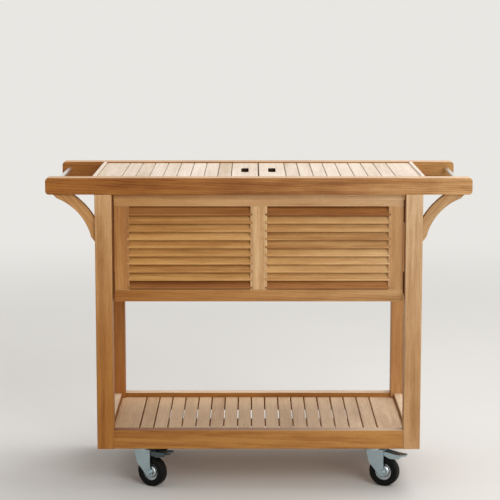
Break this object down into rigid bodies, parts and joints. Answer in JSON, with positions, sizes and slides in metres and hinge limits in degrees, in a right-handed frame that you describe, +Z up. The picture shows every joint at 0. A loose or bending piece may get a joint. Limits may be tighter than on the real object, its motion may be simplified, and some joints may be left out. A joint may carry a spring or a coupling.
{
  "type": "beverage tub bar cart",
  "caption": "Teak serving cart with a louvred box that holds a steel drinks tub under lift-off slatted lids, a slatted shelf, push bars and swivel casters.",
  "frame": {"origin": "centre of the cart's footprint, on the floor", "axes": "+X is the right end, -Y is the front, +Z is up"},
  "size_m": [1.16, 0.5, 0.874],
  "materials": {
    "teak": "oiled teak, fine straight grain",
    "teak_light": "teak boards bleached by the sun",
    "teak_dark": "oiled teak, warmer heartwood",
    "stainless": "brushed stainless steel",
    "zinc": "zinc-plated pressed steel",
    "tyre": "black solid rubber",
    "rubber": "moulded black rubber"
  },
  "bodies": {
    "root": {"leg_front_left": "teak", "leg_front_right": "teak", "leg_rear_left": "teak", "leg_rear_right": "teak", "top_rail_front": "teak_dark", "top_rail_rear": "teak_dark", "end_apron_left": "teak", "end_apron_right": "teak", "top_cross_rails": "teak", "top_ledgers": "teak", "brace_front_left": "teak", "brace_front_right": "teak", "brace_rear_left": "teak", "brace_rear_right": "teak", "push_bar_left": "stainless", "push_bar_right": "stainless", "end_board_left": "teak_light", "end_board_right": "teak_light", "front_panel_frame": "teak", "front_louvres": "teak_dark", "rear_panel_frame": "teak", "rear_louvres": "teak_dark", "side_panel_left": "teak", "side_panel_right": "teak", "box_pads": "teak_dark", "tub_bearers": "teak", "tub": "stainless", "drain_body": "stainless", "drain_nut": "zinc", "shelf_rail_front": "teak", "shelf_rail_rear": "teak", "shelf_rail_left": "teak", "shelf_rail_right": "teak", "shelf_boards": "teak_light", "shelf_ledgers": "teak", "caster_bearers": "teak", "caster_bolts": "zinc", "caster_front_left_plate": "zinc", "caster_front_right_plate": "zinc", "caster_rear_left_plate": "zinc", "caster_rear_right_plate": "zinc"},
    "lid_left": {"lid_left_boards": "teak_light", "lid_left_battens": "teak"},
    "lid_right": {"lid_right_boards": "teak_light", "lid_right_battens": "teak"},
    "stopper": {"drain_stopper": "rubber"},
    "fork_front_left": {"caster_front_left_fork": "zinc"},
    "wheel_front_left": {"caster_front_left_rim": "zinc", "caster_front_left_tyre": "tyre"},
    "pedal_front_left": {"caster_front_left_pedal": "zinc"},
    "fork_front_right": {"caster_front_right_fork": "zinc"},
    "wheel_front_right": {"caster_front_right_rim": "zinc", "caster_front_right_tyre": "tyre"},
    "pedal_front_right": {"caster_front_right_pedal": "zinc"},
    "fork_rear_left": {"caster_rear_left_fork": "zinc"},
    "wheel_rear_left": {"caster_rear_left_rim": "zinc", "caster_rear_left_tyre": "tyre"},
    "fork_rear_right": {"caster_rear_right_fork": "zinc"},
    "wheel_rear_right": {"caster_rear_right_rim": "zinc", "caster_rear_right_tyre": "tyre"}
  },
  "joints": [
    {"name": "lid_left_lift", "type": "slide", "parent": "root", "child": "lid_left", "axis": [0, 0, 1], "range_m": [0, 0.15]},
    {"name": "lid_right_lift", "type": "slide", "parent": "root", "child": "lid_right", "axis": [0, 0, 1], "range_m": [0, 0.15]},
    {"name": "stopper_lift", "type": "slide", "parent": "root", "child": "stopper", "axis": [0, 0, 1], "range_m": [0, 0.06]},
    {"name": "swivel_front_left", "type": "hinge", "parent": "root", "child": "fork_front_left", "pos_m": [-0.325, -0.182, 0.103], "axis": [0, 0, 1], "continuous": true},
    {"name": "wheel_front_left_spin", "type": "hinge", "parent": "fork_front_left", "child": "wheel_front_left", "pos_m": [-0.29757, -0.19848, 0.042], "axis": [0.515, 0.8572, 0], "continuous": true},
    {"name": "pedal_front_left_tilt", "type": "hinge", "parent": "fork_front_left", "child": "pedal_front_left", "pos_m": [-0.29929, -0.19745, 0.0975], "axis": [-0.515, -0.8572, 0], "range_deg": [-10, 0]},
    {"name": "swivel_front_right", "type": "hinge", "parent": "root", "child": "fork_front_right", "pos_m": [0.325, -0.182, 0.103], "axis": [0, 0, 1], "continuous": true},
    {"name": "wheel_front_right_spin", "type": "hinge", "parent": "fork_front_right", "child": "wheel_front_right", "pos_m": [0.35376, -0.19603, 0.042], "axis": [0.4384, 0.8988, 0], "continuous": true},
    {"name": "pedal_front_right_tilt", "type": "hinge", "parent": "fork_front_right", "child": "pedal_front_right", "pos_m": [0.35196, -0.19515, 0.0975], "axis": [-0.4384, -0.8988, 0], "range_deg": [0, 10]},
    {"name": "swivel_rear_left", "type": "hinge", "parent": "root", "child": "fork_rear_left", "pos_m": [-0.325, 0.182, 0.103], "axis": [0, 0, 1], "continuous": true},
    {"name": "wheel_rear_left_spin", "type": "hinge", "parent": "fork_rear_left", "child": "wheel_rear_left", "pos_m": [-0.29493, 0.17106, 0.042], "axis": [0.342, 0.9397, 0], "continuous": true},
    {"name": "swivel_rear_right", "type": "hinge", "parent": "root", "child": "fork_rear_right", "pos_m": [0.325, 0.182, 0.103], "axis": [0, 0, 1], "continuous": true},
    {"name": "wheel_rear_right_spin", "type": "hinge", "parent": "fork_rear_right", "child": "wheel_rear_right", "pos_m": [0.35507, 0.17106, 0.042], "axis": [0.342, 0.9397, 0], "continuous": true}
  ]
}
